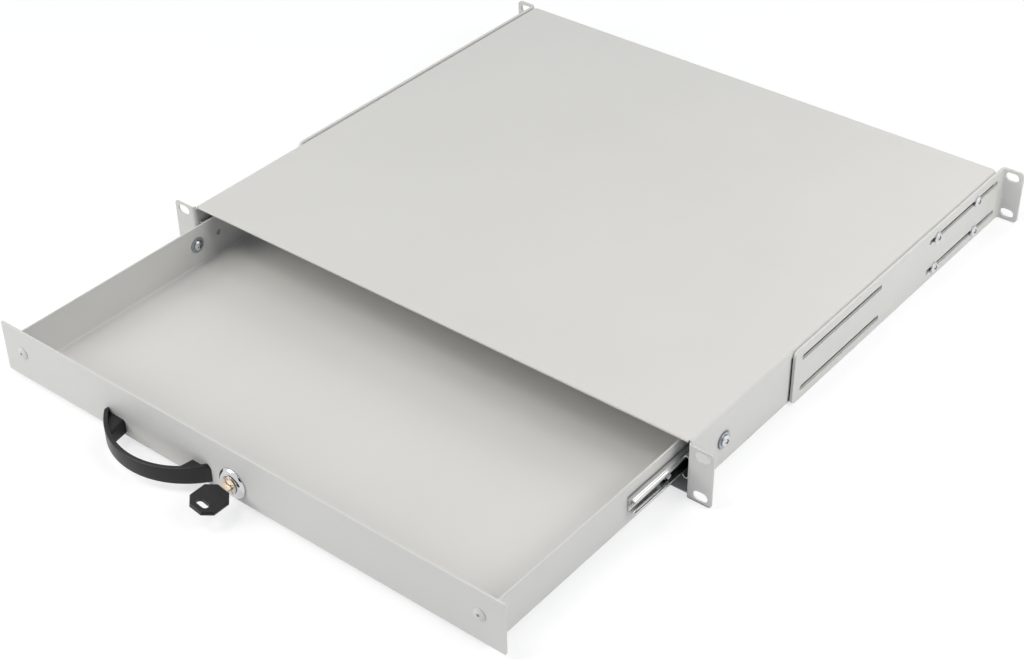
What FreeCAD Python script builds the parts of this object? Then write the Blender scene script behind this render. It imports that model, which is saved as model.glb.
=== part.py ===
import FreeCAD, Part
import math
import os
import re
import Sketcher

# Rack keyboard drawer, one rack unit high: a folded cabinet, a tray on two ball slides, a front
# panel with a bow handle and a cam lock, and two rear brackets that slide to suit the rack depth.
# X runs to the right seen from the front, Y to the back of the rack and Z up. The origin is the
# centre of the four front rack slots, on the back of the ears, where they bear on the posts.
# The drawer stands pulled out part of the way, with the key in the lock.

SIZES = {
    # rack ears
    "rack_width": 482.6,
    "rack_slot_inset": 8.75,
    "rack_hole_pitch": 31.75,
    "rack_slot_length": 11.2,
    "rack_slot_height": 7.2,
    "ear_width": 18.8,
    "ear_height": 43.0,
    "ear_bend": 1.6,
    "ear_corner": 3.0,
    # cabinet shell
    "shell_height": 44.0,
    "shell_depth": 409.8,
    "wall": 1.0,
    "bend": 2.0,
    "flange_width": 22.0,
    "front_set_back": 2.6,
    "hem_depth": 7.0,
    "hem_gap": 0.4,
    "hem_end_gap": 2.0,
    "rear_lip": 10.0,
    "relief_height": 3.4,
    # tray
    "tray_raise": 3.0,
    "tray_height": 33.2,
    "tray_depth": 385.0,
    "tray_sheet": 1.0,
    "tray_bend": 2.0,
    "cable_gap_width": 60.0,
    "cable_gap_depth": 15.0,
    "cable_gap_corner": 4.0,
    # front panel
    "panel_end_gap": 0.5,
    "panel_height": 40.0,
    "panel_raise": 4.0,
    "panel_sheet": 1.5,
    "panel_corner": 0.8,
    "closing_gap": 0.3,
    "drawer_out": 178.0,
    "panel_screw_inset": 7.5,
    "panel_screw_rise": 21.3,
    # ball slides
    "slide_thickness": 11.0,
    "slide_height": 18.6,
    "slide_sheet": 1.0,
    "slide_length": 250.0,
    "slide_rise": 21.5,
    "outer_set_back": 3.0,
    "inner_tail": 4.5,
    "inner_height": 11.8,
    "inner_bend": 0.5,
    "slide_hole_inset": 37.0,
    "slide_hole_pitch": 175.0,
    "spare_hole_step": 22.0,
    "bead_lead": 6.0,
    "bead_length": 26.0,
    "bead_width": 3.6,
    "bead_height": 1.6,
    "ball_diameter": 3.0,
    "ball_play": 0.1,
    "ball_pitch": 24.0,
    "cage_length": 90.0,
    "cage_sheet": 0.45,
    "cage_arm_height": 1.2,
    "cage_play": 0.3,
    # screws, washers and nuts
    "thread_diameter": 3.9,
    "thread_play": 0.05,
    "hole_play": 0.3,
    "head_diameter": 8.0,
    "head_height": 2.6,
    "head_rim": 1.0,
    "recess_span": 4.4,
    "recess_width": 1.1,
    "recess_depth": 1.5,
    "washer_diameter": 12.0,
    "washer_height": 1.0,
    "small_washer_diameter": 9.0,
    "small_washer_height": 0.8,
    "nut_across": 7.0,
    "nut_height": 2.4,
    "thread_end": 0.6,
    "clinch_nut_diameter": 6.4,
    "clinch_nut_height": 2.0,
    "tray_screw_tail": 2.4,
    "flat_head_diameter": 8.0,
    "flat_head_height": 0.5,
    "low_head_diameter": 9.0,
    "low_head_height": 1.6,
    "low_head_rim": 0.5,
    "socket_across": 2.5,
    "socket_depth": 1.1,
    # rear brackets
    "bracket_sheet": 2.0,
    "bracket_bend": 2.0,
    "bracket_height": 43.6,
    "bracket_length": 294.5,
    "bracket_corner": 4.0,
    "bracket_play": 0.1,
    "bracket_slot_width": 4.4,
    "bracket_slot_length": 104.5,
    "bracket_slot_lead": 9.0,
    "bracket_slot_tail": 8.5,
    "bracket_slot_pitch": 26.0,
    "bracket_slot_drop": 0.2,
    "bracket_past_right": 4.7,
    "bracket_past_left": -0.3,
    "rivet_inset": 36.2,
    "rivet_pitch": 61.0,
    "rivet_flange_diameter": 9.0,
    "rivet_flange_height": 0.6,
    "rivet_diameter": 6.0,
    "rivet_bulge_diameter": 6.8,
    "rivet_bulge_height": 2.0,
    "rivet_length": 7.0,
    # lock and key
    "lock_rise": 16.8,
    "bezel_diameter": 22.5,
    "bezel_height": 3.0,
    "bezel_rim": 0.8,
    "bezel_lip": 0.9,
    "bezel_curve": 4.5,
    "barrel_diameter": 18.0,
    "barrel_across_flats": 15.5,
    "barrel_length": 14.0,
    "barrel_play": 0.1,
    "plug_diameter": 11.0,
    "plug_collar_diameter": 12.6,
    "plug_collar_depth": 2.0,
    "plug_proud": 0.8,
    "plug_play": 0.05,
    "plug_square": 7.4,
    "plug_groove_width": 0.5,
    "plug_groove_depth": 0.4,
    "lock_nut_across": 21.0,
    "lock_nut_height": 4.0,
    "cam_gap": 0.8,
    "cam_thickness": 2.0,
    "cam_reach": 23.5,
    "cam_hub": 7.0,
    "cam_tip_width": 11.0,
    "cam_tip_corner": 3.0,
    "cam_screw_length": 5.0,
    "strike_width": 30.0,
    "strike_sheet": 1.2,
    "strike_drop": 6.0,
    "strike_leg": 14.0,
    "strike_gap": 0.6,
    "keyway_play": 0.4,
    "keyway_depth": 14.0,
    "key_turn": 11.0,
    "key_blade_width": 6.4,
    "key_blade_height": 2.0,
    "key_blade_depth": 13.2,
    "key_cut_depth": 1.8,
    "key_cut_pitch": 2.4,
    "key_head_gap": 4.3,
    "key_head_width": 21.8,
    "key_head_length": 24.6,
    "key_head_corner": 5.9,
    "key_head_height": 3.1,
    "key_head_bevel": 0.7,
    "key_tang": 11.0,
    "key_hole_width": 9.4,
    "key_hole_length": 5.0,
    "key_hole_inset": 6.4,
    # bow handle
    "handle_place": -69.4,
    "handle_rise": 7.0,
    "handle_length": 100.2,
    "handle_reach": 25.5,
    "handle_band": 3.0,
    "handle_end_height": 14.0,
    "handle_dip": 1.8,
    "handle_foot": 18.7,
    "handle_foot_slope": 2.5,
    "handle_foot_height": 9.9,
    "handle_foot_corner": 2.2,
    "handle_round": 1.0,
    "handle_end_round": 5.0,
    "handle_screw_pitch": 75.0,
    "handle_bore_depth": 8.0,
}
BALLS_PER_ROW = 4
KEY_CUTS = 4
SIDES = (("left", -1), ("right", 1))
CLOSE = 1e-3

Vec = FreeCAD.Vector
doc = FreeCAD.newDocument("rack_keyboard_drawer")
sizes = doc.addObject("Spreadsheet::Sheet", "Sizes")
for row, (name, value) in enumerate(SIZES.items(), 1):
    sizes.set(f"A{row}", name)
    sizes.set(f"B{row}", str(value))
    sizes.setAlias(f"B{row}", name)
doc.recompute()

ALIAS = re.compile(r"\b(" + "|".join(SIZES) + r")\b")
pieces = []

# Places that several pieces share, written as expressions of the sizes above.
half = "(rack_width / 2 - ear_width)"
inside = f"({half} - wall)"
rack_hole_x = "(rack_width / 2 - rack_slot_inset)"
bottom = "(-shell_height / 2)"
top = "(shell_height / 2)"
ear_front = "(-wall)"
front_edge = "(front_set_back - wall)"
hem_radius = "(wall + hem_gap / 2)"
fold_start = f"({front_edge} + {hem_radius})"
outer_bend = "(bend + wall)"
ear_fold = "(ear_bend + wall)"
rear = "(shell_depth - wall)"
fold_end = f"({rear} - {outer_bend})"

panel_back = "(-wall - closing_gap - drawer_out)"
panel_front = f"({panel_back} - panel_sheet)"
panel_side = f"({inside} - panel_end_gap)"
panel_bottom = f"({bottom} + panel_raise)"
panel_screw_z = f"({panel_bottom} + panel_screw_rise)"
tray_half = f"({inside} - slide_thickness)"
tray_inner = f"({tray_half} - tray_sheet)"
tray_bottom = f"({bottom} + tray_raise)"
tray_floor = f"({tray_bottom} + tray_sheet)"
tray_top = f"({tray_bottom} + tray_height)"
tray_wall_back = f"({panel_back} + tray_sheet)"
tray_rear = f"({panel_back} + tray_depth)"
panel_screw_x = f"({tray_inner} - panel_screw_inset)"

slide_z = f"({bottom} + slide_rise)"
outer_front = "(outer_set_back - wall)"
inner_front = f"({tray_rear} - inner_tail - slide_length)"
raceway = "(ball_diameter / 2 + ball_play)"
ball_in = f"(slide_sheet + {raceway})"
ball_up = f"(slide_height / 2 - slide_sheet - {raceway})"
cage_middle = f"(({outer_front} + {inner_front} + slide_length) / 2)"
cage_front = f"({cage_middle} - cage_length / 2)"

screw_steps = ("slide_hole_inset", "(slide_hole_inset + slide_hole_pitch)")
spare_steps = (
    "(slide_hole_inset + spare_hole_step)",
    "(slide_hole_inset + slide_hole_pitch - spare_hole_step)",
)

thread_hole = "(thread_diameter / 2 + thread_play)"
loose_hole = "(thread_diameter / 2 + hole_play)"

bracket_in = f"({half} + rivet_flange_height + bracket_play)"
bracket_out = f"({bracket_in} + bracket_sheet)"
bracket_head = f"({bracket_out} + bracket_play)"
slot_heights = (
    "(bracket_slot_pitch / 2 - bracket_slot_drop)",
    "(-bracket_slot_pitch / 2 - bracket_slot_drop)",
)
rivet_places = (f"({rear} - rivet_inset - rivet_pitch)", f"({rear} - rivet_inset)")

lock_z = f"({bottom} + lock_rise)"
closed_panel_front = "(-wall - closing_gap - panel_sheet)"
cam_front = "(barrel_length + cam_gap)"
cam_back = f"({cam_front} + cam_thickness)"
plug_face = "(-bezel_height - plug_proud)"
keyway_end = f"({plug_face} + keyway_depth)"
key_head_near = f"({plug_face} - key_head_gap)"
key_head_far = f"({key_head_near} - key_head_length)"
handle_z = f"({bottom} + handle_rise + handle_foot_height / 2)"
panel_stack = "(panel_sheet + tray_sheet)"


def number(text):
    return float(sizes.evalExpression(text))


def bind(item, prop, text):
    item.setExpression(prop, ALIAS.sub(r"Sizes.\1", text))


def toward(here, there):
    run = (there[0] - here[0], there[1] - here[1])
    length = math.hypot(*run)
    return run[0] / length, run[1] / length


def fix_point(sketch, item, end, place):
    for kind, text in zip(("DistanceX", "DistanceY"), place):
        index = sketch.addConstraint(Sketcher.Constraint(kind, -1, 1, item, end, number(text)))
        bind(sketch, f"Constraints[{index}]", text)


def fix_radius(sketch, item, text):
    index = sketch.addConstraint(Sketcher.Constraint("Radius", item, number(text)))
    bind(sketch, f"Constraints[{index}]", text)


# A corner of an outline is (x, y), or (x, y, "round", r) where a square corner is rounded, or
# (x, y, "left", r) or (x, y, "right", r) where an arc that turns that way runs to the next corner.
def outline_joints(corners):
    spots = [(number(corner[0]), number(corner[1])) for corner in corners]
    joints = []
    for place, corner in enumerate(corners):
        x, y = corner[:2]
        if len(corner) == 2:
            joints.append(((x, y), None, None))
        elif corner[2] == "round":
            radius = corner[3]
            back = toward(spots[place], spots[place - 1])
            ahead = toward(spots[place], spots[(place + 1) % len(spots)])
            turn = "left" if ahead[0] * back[1] - ahead[1] * back[0] > 0 else "right"
            entry = (f"{x} + {back[0]:.0f} * {radius}", f"{y} + {back[1]:.0f} * {radius}")
            leave = (f"{x} + {ahead[0]:.0f} * {radius}", f"{y} + {ahead[1]:.0f} * {radius}")
            joints.append((entry, turn, radius))
            joints.append((leave, None, None))
        else:
            joints.append(((x, y), corner[2], corner[3]))
    return joints


def arc_curve(start, end, turn, radius):
    chord = toward(start, end)
    side = 1 if turn == "left" else -1
    half_chord = math.dist(start, end) / 2
    rise = side * math.sqrt(max(radius ** 2 - half_chord ** 2, 0))
    centre = Vec(
        (start[0] + end[0]) / 2 - chord[1] * rise,
        (start[1] + end[1]) / 2 + chord[0] * rise,
        0,
    )
    first, last = (start, end) if turn == "left" else (end, start)
    angles = [math.atan2(spot[1] - centre.y, spot[0] - centre.x) for spot in (first, last)]
    if angles[1] < angles[0]:
        angles[1] += 2 * math.pi
    return Part.ArcOfCircle(Part.Circle(centre, Vec(0, 0, 1), radius), *angles)


def outline(sketch, corners):
    joints = outline_joints(corners)
    spots = [(number(place[0]), number(place[1])) for place, turn, radius in joints]
    runs = []
    for index, (place, turn, radius) in enumerate(joints):
        start = spots[index]
        end = spots[(index + 1) % len(spots)]
        if math.dist(start, end) < CLOSE:
            continue
        if turn:
            item = sketch.addGeometry(arc_curve(start, end, turn, number(radius)))
            ends = (1, 2) if turn == "left" else (2, 1)
        else:
            item = sketch.addGeometry(Part.LineSegment(Vec(*start, 0), Vec(*end, 0)))
            ends = (1, 2)
        runs.append((item, ends, place, radius))
    for index, (item, ends, place, radius) in enumerate(runs):
        before, before_ends = runs[index - 1][:2]
        sketch.addConstraint(Sketcher.Constraint("Coincident", before, before_ends[1], item, ends[0]))
    for item, ends, place, radius in runs:
        fix_point(sketch, item, ends[0], place)
        if radius:
            fix_radius(sketch, item, radius)


def circle(sketch, x, y, radius):
    spot = Vec(number(x), number(y), 0)
    item = sketch.addGeometry(Part.Circle(spot, Vec(0, 0, 1), number(radius)))
    fix_point(sketch, item, 3, (x, y))
    fix_radius(sketch, item, radius)


def box_outline(x0, x1, y0, y1):
    return [(x0, y0), (x1, y0), (x1, y1), (x0, y1)]


def slot_outline(x, y, length, width):
    end = f"({width} / 2)"
    left, right = f"({x} - {length} / 2)", f"({x} + {length} / 2)"
    low, high = f"({y} - {width} / 2)", f"({y} + {width} / 2)"
    return [(left, low, "round", end), (right, low, "round", end),
            (right, high, "round", end), (left, high, "round", end)]


def hexagon_outline(x, y, across):
    tip = f"({across} / sqrt(3))"
    corners = []
    for step in range(6):
        across_share = ("1", "0.5", "-0.5", "-1", "-0.5", "0.5")[step]
        flat_share = ("0", "1", "1", "0", "-1", "-1")[step]
        corners.append((f"{x} + {across_share} * {tip}", f"{y} + {flat_share} * {across} / 2"))
    return corners


def new_body(label, place=None, turn=None):
    body = doc.addObject("PartDesign::Body", label)
    body.Label = label
    if turn:
        body.Placement.Rotation = FreeCAD.Rotation(Vec(0, 1, 0), number(turn))
        bind(body, "Placement.Rotation.Angle", turn)
    if place:
        for axis, text in zip("xyz", place):
            bind(body, f"Placement.Base.{axis}", text)
    return body


def new_piece(label, place=None, turn=None):
    body = new_body(label, place, turn)
    pieces.append(body)
    return body


def sketch_on(body, name, plane, offset=None):
    sketch = body.newObject("Sketcher::SketchObject", name)
    support = next(item for item in body.Origin.OriginFeatures if item.Role == plane + "_Plane")
    sketch.AttachmentSupport = [(support, "")]
    sketch.MapMode = "FlatFace"
    if offset:
        bind(sketch, "AttachmentOffset.Base.z", offset)
    return sketch


# Outlines and circles lie in the named plane and reach from start to end along the third axis.
def extrude(body, name, plane, start, end, outlines=(), circles=(), cut=False):
    faces_back = plane == "XZ"
    sketch = sketch_on(body, name + "_sketch", plane, f"-1 * {start}" if faces_back else start)
    for corners in outlines:
        outline(sketch, corners)
    for x, y, radius in circles:
        circle(sketch, x, y, radius)
    feature = body.newObject("PartDesign::Pocket" if cut else "PartDesign::Pad", name)
    feature.Profile = sketch
    feature.Reversed = faces_back != cut
    bind(feature, "Length", f"{end} - {start}")
    if cut:
        doc.recompute()
        before = feature.BaseFeature.Shape.Volume
        if feature.Shape.isNull() or feature.Shape.Volume > before - CLOSE:
            raise RuntimeError(f"{body.Label}: {name} cuts nothing")
    return feature


# A turned shape: the outline is (distance along the axis, radius) in the YZ plane, about Y,
# or (radius, height) in the XZ plane, about Z.
def revolve(body, name, plane, corners):
    sketch = sketch_on(body, name + "_sketch", plane)
    outline(sketch, corners)
    feature = body.newObject("PartDesign::Revolution", name)
    feature.Profile = sketch
    feature.ReferenceAxis = (sketch, ["H_Axis" if plane == "YZ" else "V_Axis"])
    feature.Angle = 360
    return feature


def dress(body, kind, name, size_name, size, wanted):
    doc.recompute()
    base = body.Tip
    edges = [f"Edge{index}" for index, edge in enumerate(base.Shape.Edges, 1) if wanted(edge)]
    feature = body.newObject(kind, name)
    feature.Base = (base, edges)
    bind(feature, size_name, size)
    return feature


def round_edges(body, name, radius, wanted):
    return dress(body, "PartDesign::Fillet", name, "Radius", radius, wanted)


def runs_along(edge, axis):
    spread = [edge.BoundBox.XLength, edge.BoundBox.YLength, edge.BoundBox.ZLength]
    length = spread.pop("XYZ".index(axis))
    return length > CLOSE and max(spread) < CLOSE


def is_at(edge, axis, text):
    return abs(abs(edge.CenterOfMass["xyz".index(axis)]) - abs(number(text))) < CLOSE


# True for the straight edge between two places in plan, at the given height, on either side of X = 0.
def runs_between(edge, start, end, height):
    middle = [(number(first) + number(last)) / 2 for first, last in zip(start, end)]
    spot = edge.CenterOfMass
    return math.dist((abs(spot.x), spot.y, spot.z), (*middle, number(height))) < CLOSE


# Copies of one pattern piece, each with its own +Z turned to the given direction.
def group(label, pattern, places):
    doc.recompute()
    copies = []
    for x, y, z, direction in places:
        spot = FreeCAD.Placement(
            Vec(number(x), number(y), number(z)), FreeCAD.Rotation(Vec(0, 0, 1), Vec(*direction))
        )
        copy = pattern.Shape.copy()
        copy.Placement = spot.multiply(copy.Placement)
        copies.append(copy)
    feature = doc.addObject("Part::Feature", label)
    feature.Label = label
    feature.Shape = Part.makeCompound(copies)
    pieces.append(feature)


# Cabinet shell: top, sides and inward bottom flanges folded from one sheet, with a hemmed front
# edge, a turned-down rear lip and a slotted ear on each side.
def cabinet_shell():
    body = new_piece("cabinet_shell")
    flange = f"({half} - flange_width)"
    lower, upper = f"({bottom} + wall)", f"({top} - wall)"
    wrap = [
        (flange, bottom), (half, bottom, "round", outer_bend), (half, top, "round", outer_bend),
        (f"-{half}", top, "round", outer_bend), (f"-{half}", bottom, "round", outer_bend),
        (f"-{flange}", bottom), (f"-{flange}", lower),
        (f"-{inside}", lower, "round", "bend"), (f"-{inside}", upper, "round", "bend"),
        (inside, upper, "round", "bend"), (inside, lower, "round", "bend"), (flange, lower),
    ]
    extrude(body, "wrap", "XZ", fold_start, fold_end, [wrap])
    for side, sign in SIDES:
        ear = [
            (f"{sign} * {inside}", fold_start), (f"{sign} * {inside}", ear_front, "round", ear_fold),
            (f"{sign} * rack_width / 2", ear_front), (f"{sign} * rack_width / 2", "0"),
            (f"{sign} * {half}", "0", "round", "ear_bend"), (f"{sign} * {half}", fold_start),
        ]
        extrude(body, f"ear_{side}", "XY", "(-ear_height / 2)", "(ear_height / 2)", [ear])
    span = f"({inside} - hem_end_gap)"
    nose_low = f"({top} - 2 * {hem_radius})"
    nose_middle = f"({top} - {hem_radius})"
    hem_end = f"({front_edge} + hem_depth)"
    hem = [
        (fold_start, top, "left", hem_radius), (front_edge, nose_middle, "left", hem_radius),
        (fold_start, nose_low), (hem_end, nose_low), (hem_end, f"{nose_low} + wall"),
        (fold_start, f"{nose_low} + wall", "right", "hem_gap / 2"),
        (f"{fold_start} - hem_gap / 2", nose_middle, "right", "hem_gap / 2"),
        (fold_start, f"{top} - wall"),
    ]
    extrude(body, "front_hem", "YZ", f"(-{span})", span, [hem])
    lip_low = f"({top} - rear_lip)"
    lip = [
        (fold_end, top, "right", outer_bend), (rear, f"{top} - {outer_bend}"), (rear, lip_low),
        (f"{rear} - wall", lip_low), (f"{rear} - wall", f"{top} - {outer_bend}", "left", "bend"),
        (fold_end, f"{top} - wall"),
    ]
    extrude(body, "rear_lip", "YZ", f"(-{span})", span, [lip])
    at_ear_tip = lambda edge: runs_along(edge, "Y") and is_at(edge, "x", "rack_width / 2")
    round_edges(body, "ear_corners", "ear_corner", at_ear_tip)
    slots = []
    for side, sign in SIDES:
        for level in (-1, 1):
            slots.append(slot_outline(
                f"{sign} * {rack_hole_x}", f"{level} * rack_hole_pitch / 2",
                "rack_slot_length", "rack_slot_height",
            ))
    extrude(body, "ear_slots", "XZ", ear_front, "0", slots, cut=True)
    reliefs = []
    for side, sign in SIDES:
        reliefs.append(box_outline(
            f"{sign} * ({inside} - wall)", f"{sign} * ({half} + wall)",
            f"({top} - relief_height)", f"({top} + wall)",
        ))
    extrude(body, "corner_reliefs", "XZ", f"({ear_front} + {ear_fold})", fold_start, reliefs, cut=True)
    holes = [(f"({outer_front} + {step})", slide_z, loose_hole) for step in screw_steps]
    for place in rivet_places:
        for height in slot_heights:
            holes.append((place, height, "(rivet_diameter / 2 + thread_play)"))
    extrude(body, "side_holes", "YZ", f"(-{half} - wall)", f"({half} + wall)", circles=holes, cut=True)


# Strike: an angle under the top that the turned-up cam hooks behind when the drawer is shut.
def lock_strike():
    body = new_piece("lock_strike")
    under = f"({top} - wall)"
    leg_back = f"({closed_panel_front} + {cam_front} - strike_gap)"
    leg_front = f"({leg_back} - strike_sheet)"
    angle = [
        (leg_front, f"{under} - strike_drop"), (leg_back, f"{under} - strike_drop"),
        (leg_back, f"{under} - strike_sheet"), (f"{leg_front} + strike_leg", f"{under} - strike_sheet"),
        (f"{leg_front} + strike_leg", under), (leg_front, under, "round", "strike_sheet"),
    ]
    extrude(body, "angle", "YZ", "(-strike_width / 2)", "(strike_width / 2)", [angle])


# Tray: floor and walls folded from one sheet, with a low cable gap in the rear wall.
def tray():
    body = new_piece("tray")
    fold = "(tray_bend + tray_sheet)"
    trough = [
        (f"-{tray_half}", tray_top), (f"-{tray_half}", tray_bottom, "round", fold),
        (tray_half, tray_bottom, "round", fold), (tray_half, tray_top), (tray_inner, tray_top),
        (tray_inner, tray_floor, "round", "tray_bend"),
        (f"-{tray_inner}", tray_floor, "round", "tray_bend"), (f"-{tray_inner}", tray_top),
    ]
    extrude(body, "trough", "XZ", panel_back, tray_rear, [trough])
    wall_low = f"({tray_floor} - tray_sheet / 2)"
    wall_side = f"({tray_inner} + tray_sheet / 2)"
    front = box_outline(f"-{wall_side}", wall_side, wall_low, tray_top)
    extrude(body, "front_wall", "XZ", panel_back, tray_wall_back, [front])
    gap_low = f"({tray_top} - cable_gap_depth)"
    back = [
        (f"-{wall_side}", wall_low), (wall_side, wall_low), (wall_side, tray_top),
        ("cable_gap_width / 2", tray_top), ("cable_gap_width / 2", gap_low, "round", "cable_gap_corner"),
        ("-cable_gap_width / 2", gap_low, "round", "cable_gap_corner"), ("-cable_gap_width / 2", tray_top),
        (f"-{wall_side}", tray_top),
    ]
    extrude(body, "rear_wall", "XZ", f"({tray_rear} - tray_sheet)", tray_rear, [back])
    extrude(body, "front_holes", "XZ", panel_back, tray_wall_back, [barrel_hole()], panel_holes(), cut=True)
    holes = [(f"({inner_front} + {step})", slide_z, loose_hole) for step in screw_steps + spare_steps]
    extrude(body, "side_holes", "YZ", f"(-{half})", half, circles=holes, cut=True)


def barrel_hole():
    reach = "(barrel_across_flats / 2 + barrel_play)"
    radius = "(barrel_diameter / 2 + barrel_play)"
    rise = f"sqrt({radius} ^ 2 - {reach} ^ 2)"
    return [
        (reach, f"{lock_z} - {rise}"), (reach, f"{lock_z} + {rise}", "left", radius),
        (f"-{reach}", f"{lock_z} + {rise}"), (f"-{reach}", f"{lock_z} - {rise}", "left", radius),
    ]


def handle_screw_places():
    return [f"(handle_place {sign} handle_screw_pitch / 2)" for sign in "-+"]


def panel_holes():
    holes = [(f"{sign} * {panel_screw_x}", panel_screw_z, loose_hole) for side, sign in SIDES]
    holes += [(x, handle_z, loose_hole) for x in handle_screw_places()]
    return holes


def front_panel():
    body = new_piece("front_panel")
    high = f"({panel_bottom} + panel_height)"
    plate = [
        (f"-{panel_side}", panel_bottom, "round", "panel_corner"),
        (panel_side, panel_bottom, "round", "panel_corner"),
        (panel_side, high, "round", "panel_corner"),
        (f"-{panel_side}", high, "round", "panel_corner"),
    ]
    extrude(body, "plate", "XZ", panel_front, panel_back, [plate])
    extrude(body, "holes", "XZ", panel_front, panel_back, [barrel_hole()], panel_holes(), cut=True)


# Bow handle: a curved band with rounded ends, slightly lower in the middle, on two lower feet.
def handle():
    body = new_piece("handle", ("handle_place", panel_front, f"({bottom} + handle_rise)"))
    end = "(handle_length / 2)"
    curve = f"(({end} ^ 2 + handle_reach ^ 2) / (2 * handle_reach))"
    inner_curve = f"({curve} - handle_band)"
    set_back = f"({curve} - handle_reach)"
    foot = f"({end} - handle_foot)"
    crook = f"({foot} - handle_foot_slope)"
    crook_y = f"({set_back} - sqrt({inner_curve} ^ 2 - {crook} ^ 2))"
    plan = [
        (f"-{end}", "0", "left", curve), (end, "0"), (foot, "0"), (crook, crook_y, "right", inner_curve),
        (f"-{crook}", crook_y), (f"-{foot}", "0"),
    ]
    extrude(body, "bow", "XY", "0", "handle_end_height", [plan])
    dip_curve = f"(({end} ^ 2 + handle_dip ^ 2) / (2 * handle_dip))"
    dish = [
        (f"-{end}", "handle_end_height", "left", dip_curve), (end, "handle_end_height"),
        (end, "2 * handle_end_height"), (f"-{end}", "2 * handle_end_height"),
    ]
    extrude(body, "top_dip", "XZ", "(-handle_reach - handle_band)", "handle_band", [dish], cut=True)
    inner_end = f"sqrt({inner_curve} ^ 2 - {set_back} ^ 2)"
    behind = [(f"-{inner_end}", "0", "left", inner_curve), (inner_end, "0")]
    extrude(body, "foot_steps", "XY", "handle_foot_height", "handle_end_height", [behind], cut=True)
    on_foot = lambda edge: runs_between(edge, (foot, "0"), (crook, crook_y), "handle_foot_height")
    round_edges(body, "foot_corners", "handle_foot_corner", on_foot)
    on_front = lambda edge: edge.BoundBox.XLength > number(f"2 * {foot}") and \
        edge.BoundBox.YMin < number("-handle_reach") + CLOSE
    round_edges(body, "front_edges", "handle_round", on_front)
    brow = "(handle_end_height - handle_end_round)"
    above = "(2 * handle_end_height)"
    for side, sign in SIDES:
        tip, start = f"{sign} * {end}", f"{sign} * ({end} - handle_end_round)"
        beyond = f"{sign} * ({end} + handle_end_round)"
        corner = [
            (tip, brow, "left" if sign > 0 else "right", "handle_end_round"), (start, "handle_end_height"),
            (start, above), (beyond, above), (beyond, brow),
        ]
        extrude(body, f"end_round_{side}", "XZ", "(-handle_reach)", "0", [corner], cut=True)
    middle = "(handle_foot_height / 2)"
    bores = [(f"{sign} * handle_screw_pitch / 2", middle, thread_hole) for side, sign in SIDES]
    extrude(body, "screw_bores", "XZ", "(-handle_bore_depth)", "0", circles=bores, cut=True)


# Lock housing: a domed bezel on a flatted barrel that goes through the panel and the tray wall.
def lock_housing():
    body = new_piece("lock_housing", ("0", panel_front, lock_z))
    bore = "(plug_diameter / 2 + plug_play)"
    collar = "(plug_collar_diameter / 2 + plug_play)"
    seat = f"({plug_face} + plug_collar_depth)"
    turned = [
        ("0", "barrel_diameter / 2"), ("0", "bezel_diameter / 2"),
        ("-bezel_rim", "bezel_diameter / 2", "left", "bezel_curve"),
        ("-bezel_height", f"{collar} + bezel_lip"), ("-bezel_height", collar), (seat, collar),
        (seat, bore), ("barrel_length", bore), ("barrel_length", "barrel_diameter / 2"),
    ]
    revolve(body, "turned", "YZ", turned)
    flats = []
    for side, sign in SIDES:
        flats.append(box_outline(
            f"{sign} * barrel_across_flats / 2", f"{sign} * barrel_diameter",
            "(-barrel_diameter)", "barrel_diameter",
        ))
    extrude(body, "flats", "XZ", "0", "barrel_length", flats, cut=True)


def lock_nut():
    body = new_piece("lock_nut", ("0", panel_front, lock_z))
    ring = hexagon_outline("0", "0", "lock_nut_across")
    bore = ("0", "0", "(barrel_diameter / 2 + thread_play)")
    extrude(body, "ring", "XZ", panel_stack, f"({panel_stack} + lock_nut_height)", [ring], [bore])


# Lock plug: collar, round body with a flat keyway, and a square end that carries the cam.
def lock_plug():
    body = new_piece("lock_plug", ("0", panel_front, lock_z), "key_turn")
    neck = f"({plug_face} + plug_collar_depth)"
    turned = [
        (plug_face, "0"), (plug_face, "plug_collar_diameter / 2"), (neck, "plug_collar_diameter / 2"),
        (neck, "plug_diameter / 2"), (cam_front, "plug_diameter / 2"), (cam_front, "0"),
    ]
    revolve(body, "turned", "YZ", turned)
    side = "(plug_square / 2)"
    square = box_outline(f"-{side}", side, f"-{side}", side)
    extrude(body, "square_end", "XZ", cam_front, cam_back, [square])
    slot_side = "((key_blade_width + keyway_play) / 2)"
    slot_rise = "((key_blade_height + keyway_play) / 2)"
    slot = box_outline(f"-{slot_side}", slot_side, f"-{slot_rise}", slot_rise)
    extrude(body, "keyway", "XZ", plug_face, keyway_end, [slot], cut=True)
    groove_end = f"({plug_face} + plug_groove_depth)"
    run, drift = "(plug_collar_diameter / 2 / sqrt(2))", "(plug_groove_width / 2 / sqrt(2))"
    for side, sign in SIDES:
        groove = [
            (f"{sign} * ({run} + {drift})", f"({run} - {drift})"),
            (f"{sign} * ({run} - {drift})", f"({run} + {drift})"),
            (f"-{sign} * ({run} + {drift})", f"(-{run} + {drift})"),
            (f"-{sign} * ({run} - {drift})", f"(-{run} - {drift})"),
        ]
        extrude(body, f"face_groove_{side}", "XZ", plug_face, groove_end, [groove], cut=True)
    bore = ("0", "0", thread_hole)
    bore_end = f"({cam_back} - cam_screw_length - thread_end)"
    extrude(body, "screw_bore", "XZ", bore_end, cam_back, circles=[bore], cut=True)


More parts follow.
